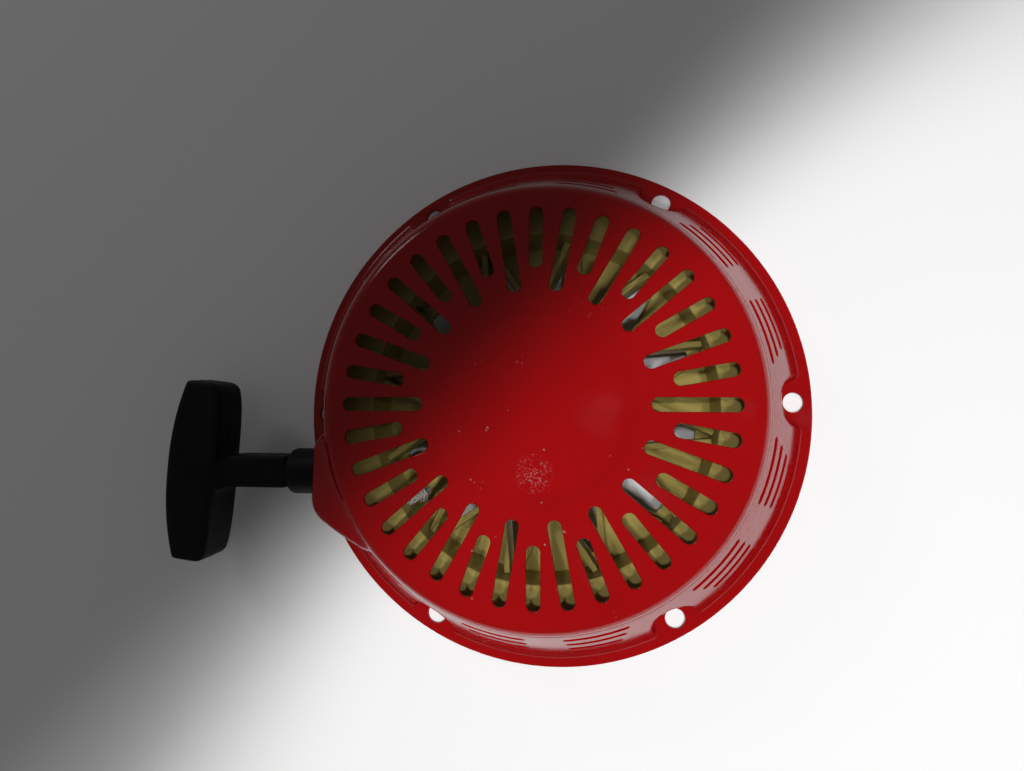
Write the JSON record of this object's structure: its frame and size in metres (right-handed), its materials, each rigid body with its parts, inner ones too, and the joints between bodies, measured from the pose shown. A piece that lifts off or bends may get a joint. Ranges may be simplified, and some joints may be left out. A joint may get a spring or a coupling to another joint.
{
  "type": "recoil starter",
  "caption": "Pull-cord engine starter: vented pressed-steel bowl with a bolting flange, rope reel, ratchet pawls and a black T-handle.",
  "frame": {"origin": "on the crank axis, in the rear plane of the flange that bolts to the engine", "axes": "+Z out through the vented face along the crank axis; the rope leaves along -X; +Y up in use"},
  "size_m": [0.2768, 0.225, 0.0458],
  "materials": {
    "red_paint": "gloss",
    "nylon": "satin natural nylon",
    "black_plastic": "satin",
    "zinc_steel": "zinc plated",
    "spring_steel": "oiled",
    "sintered_steel": "dull",
    "bronze": "sintered",
    "rope_yarn": "braided polyester"
  },
  "bodies": {
    "housing": {"housing": "red_paint", "centre_post": "zinc_steel", "recoil_spring": "spring_steel", "friction_spring": "spring_steel", "guide_washer": "zinc_steel", "centre_screw": "zinc_steel", "rope_guide": "black_plastic", "rope_run": "rope_yarn"},
    "reel": {"reel": "nylon", "reel_bushing": "bronze", "pawl_pin_a": "zinc_steel", "pawl_pin_b": "zinc_steel", "pawl_spring_a": "spring_steel", "pawl_spring_b": "spring_steel", "rope_winding": "rope_yarn", "reel_knot": "rope_yarn"},
    "handle": {"handle_grip": "black_plastic", "rope_retainer": "zinc_steel", "handle_knot": "rope_yarn", "rope_tail": "rope_yarn"},
    "ratchet_guide": {"ratchet_guide": "zinc_steel"},
    "pawl_a": {"pawl_a": "sintered_steel"},
    "pawl_b": {"pawl_b": "sintered_steel"}
  },
  "joints": [
    {"name": "handle_pull", "type": "slide", "parent": "housing", "child": "handle", "axis": [-1, 0, 0], "range_m": [0, 1.4]},
    {"name": "reel_spin", "type": "hinge", "parent": "housing", "child": "reel", "pos_m": [0, 0, 0.022], "axis": [0, 0, 1], "range_deg": [-1036, 0], "stiffness_Nm_per_rad": 0.05, "springref_deg": 1088.62},
    {"name": "ratchet_turn", "type": "hinge", "parent": "reel", "child": "ratchet_guide", "pos_m": [0, 0, 0.0071], "axis": [0, 0, 1], "range_deg": [0, 30], "stiffness_Nm_per_rad": 0.02, "springref_deg": -17.19},
    {"name": "pawl_a_swing", "type": "hinge", "parent": "reel", "child": "pawl_a", "pos_m": [0.0235, 0, 0.0103], "axis": [0, 0, 1], "range_deg": [0, 24.1]},
    {"name": "pawl_b_swing", "type": "hinge", "parent": "reel", "child": "pawl_b", "pos_m": [-0.0235, 0, 0.0103], "axis": [0, 0, 1], "range_deg": [0, 24.1]}
  ],
  "couplings": [
    {"joint": "reel_spin", "follows": "handle_pull", "rad_per_m": -12.84},
    {"joint": "pawl_a_swing", "follows": "ratchet_turn", "ratio": 0.8},
    {"joint": "pawl_b_swing", "follows": "ratchet_turn", "ratio": 0.8}
  ]
}
